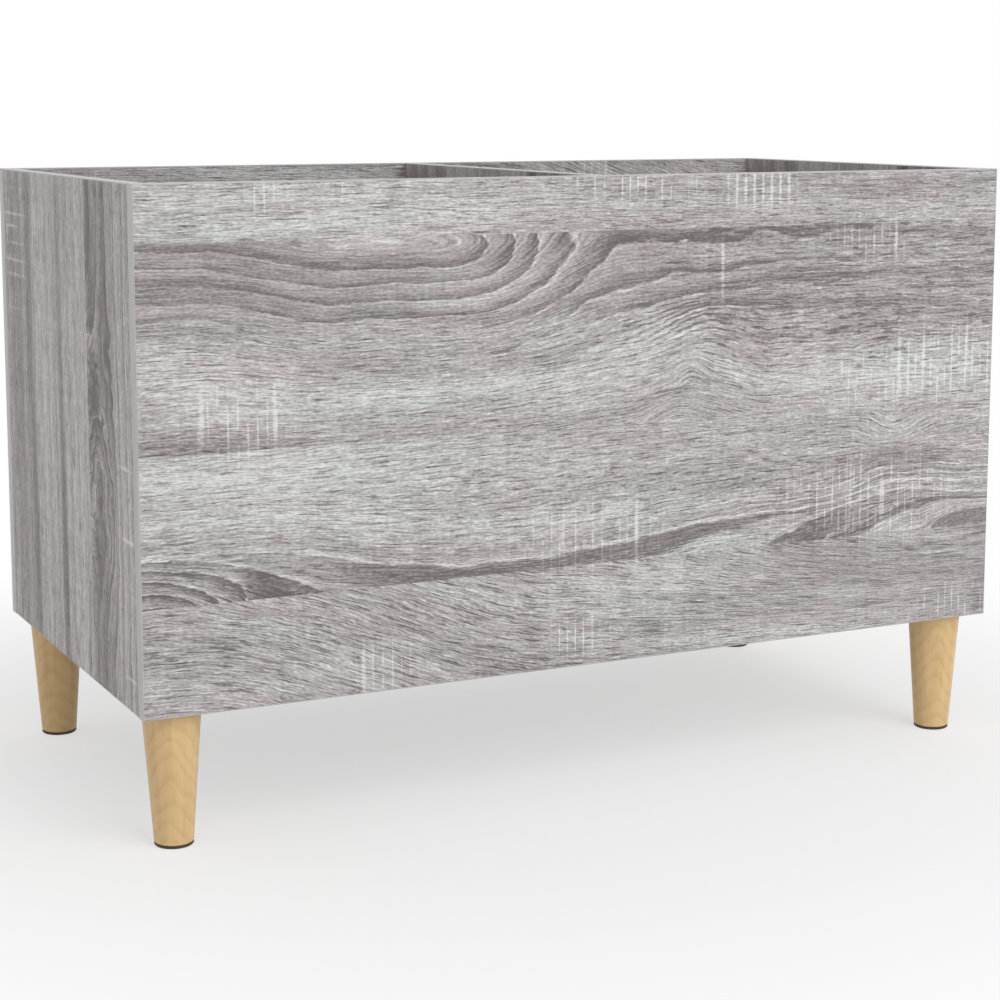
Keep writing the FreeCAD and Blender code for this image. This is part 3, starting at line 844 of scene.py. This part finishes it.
def plywood(name):
    """Five layers in 4 mm, turn about light and dark, with upright streaks."""
    material, (x, y, z) = new_material(name)
    layers = smooth(zigzag(x + y + z, PLY_LAYER), 0.2, 0.6)
    streaks = cloud(x * 0.3, y * 0.3, z * 0.04, detail=3.0)
    colour = mix(clamp(layers * 0.6 + streaks + 0.2), shade(186, 152, 108), shade(220, 192, 148))
    return finish_material(material, colour, streaks * 0.2 + 0.6, streaks * 0.05)


def planed_pine(name):
    """Growth rings about the cabinet's upright middle axis, bent by noise, and resin streaks."""
    material, (x, y, z) = new_material(name)
    ring = ring_place(length(x, y) + cloud(x * 0.02, y * 0.02, z * 0.01) * 20, PINE_RINGS)
    streaks = cloud(x * 0.5, y * 0.5, z * 0.03, detail=3.0)
    colour = mix(clamp(ring * ring * 0.7 + streaks * 0.8 + 0.1), shade(222, 191, 138), shade(186, 141, 86))
    return finish_material(material, colour, streaks * 0.2 + 0.55, ring * 0.03)


def zinc(name):
    """Bright plated steel: fine turning marks and faint cloudy spangles."""
    material, (x, y, z) = new_material(name)
    turning = cloud(x * 0.3, y * 0.3, z * 6.0)
    spangle = cloud(x * 0.8, y * 0.8, z * 0.8, detail=1.0)
    colour = mix(clamp(spangle * 2 + 0.5), shade(186, 188, 190), shade(214, 215, 212))
    return finish_material(material, colour, turning * 0.3 + 0.35, turning * 0.02, metallic=1.0)


BLOCKS = ["divider_blocks"] + [name for name in frame["nodes"] if name.endswith("corner_block")]
dress(plywood("tongue_plywood"), "corner_tongues", "divider_tongues", "bottom_tongues")
dress(planed_pine("block_pine"), *BLOCKS)
dress(zinc("zinc_plating"), "leg_hanger_bolts", "leg_threaded_sleeves")
bare = [name for name, piece in frame["nodes"].items() if not piece.data.materials]
print("pieces without a finish:", bare)

# %% [markdown]
# ## The camera
#
# The photograph was taken from low down with a long lens. Its upright edges are parallel, which a level
# camera with a shifted lens gives. A large shift would cut the cabinet off in every other view, so most of
# it is made a downward tilt here.

# %% The camera
IMAGE_SIDE, FOCAL_PIXELS = 1000, 2176
SENSOR_WIDTH = 36.0
CAMERA_PLACE = (-0.8083, -1.6437, 0.5401)
CAMERA_YAW, CAMERA_TILT, CAMERA_SHIFT = 26.27, -7.86, -0.10
camera_data = bpy.data.cameras.new("camera")
camera_data.sensor_width = SENSOR_WIDTH
camera_data.lens = SENSOR_WIDTH * FOCAL_PIXELS / IMAGE_SIDE
camera_data.shift_y = CAMERA_SHIFT
camera = bpy.data.objects.new("camera", camera_data)
camera.location = CAMERA_PLACE
camera.rotation_euler = (math.radians(90 + CAMERA_TILT), 0, math.radians(-CAMERA_YAW))
bpy.context.scene.collection.objects.link(camera)
bpy.context.scene.camera = camera
print("a lens of", round(camera_data.lens, 1), "mm")

# %% [markdown]
# ## Light and floor
#
# The cabinet stands in a plain bright studio. Most of the light is the world's own, which comes from all
# sides, and one large soft lamp in front makes the front a little brighter than the left side. What the
# camera sees of the world is white, without any more light falling on the cabinet. The floor is pale and
# fades into that white, and it still keeps the cabinet's shadow.

# %% The lamp
KEY_PLACE, KEY_TARGET = Vector((0.9, -2.6, 2.2)), Vector((0, 0, TOP / 2))
KEY_SIZE, KEY_POWER = 2.4, 48
key_data = bpy.data.lights.new("key", "AREA")
key_data.size, key_data.energy = KEY_SIZE, KEY_POWER
key = bpy.data.objects.new("key", key_data)
key.location = KEY_PLACE
key.rotation_euler = (KEY_TARGET - KEY_PLACE).to_track_quat("-Z", "Y").to_euler()
bpy.context.scene.collection.objects.link(key)
print("the lamp is", round((KEY_TARGET - KEY_PLACE).length, 2), "m away")

# %% The world
WORLD_LIGHT = 0.56
SEEN_RAYS = ("Is Camera Ray", "Is Glossy Ray", "Is Transmission Ray")


def seen(tree):
    """1 for what the camera, a reflection or a look through glass sees, and 0 for light on a surface."""
    rays = Wire(tree).node("ShaderNodeLightPath").socket.node
    wires = [Wire(tree, rays.outputs[kind]) for kind in SEEN_RAYS]
    return clamp(wires[0] + wires[1] + wires[2])


world = bpy.data.worlds.new("studio")
world.use_nodes = True
bpy.context.scene.world = world
background = world.node_tree.nodes["Background"]
background.inputs["Color"].default_value = (1, 1, 1, 1)
strength = seen(world.node_tree) * (1 - WORLD_LIGHT) + WORLD_LIGHT
world.node_tree.links.new(strength.socket, background.inputs["Strength"])

# %% The floor
FLOOR_SIDE, FLOOR_GREY, FLOOR_ROUGHNESS = 12.0, 0.9, 0.9
FADE_NEAR, FADE_FAR, FADE_START = 300, 900, 0.55
bpy.ops.mesh.primitive_plane_add(size=FLOOR_SIDE)
floor = bpy.context.object
floor.name = "floor"
floor_material, (x, y, z) = new_material("pale_floor")
tree = floor_material.node_tree
floor_shader = shader_of(floor_material)
floor_shader.inputs["Base Color"].default_value = (FLOOR_GREY, FLOOR_GREY, FLOOR_GREY, 1)
floor_shader.inputs["Roughness"].default_value = FLOOR_ROUGHNESS
floor_shader.inputs["Specular IOR Level"].default_value = 0.0
distance = length(x, y)
white = distance.node("ShaderNodeEmission", None, {"Color": (1, 1, 1, 1), "Strength": 1.0})
fade = (smooth(distance, FADE_NEAR, FADE_FAR) * (1 - FADE_START) + FADE_START) * seen(tree)
both = distance.node("ShaderNodeMixShader", None, {0: fade, 1: Wire(tree, floor_shader.outputs[0]), 2: white})
tree.links.new(both.socket, tree.nodes["Material Output"].inputs["Surface"])
floor.data.materials.append(floor_material)

# %% View settings
bpy.context.scene.view_settings.view_transform = "Standard"
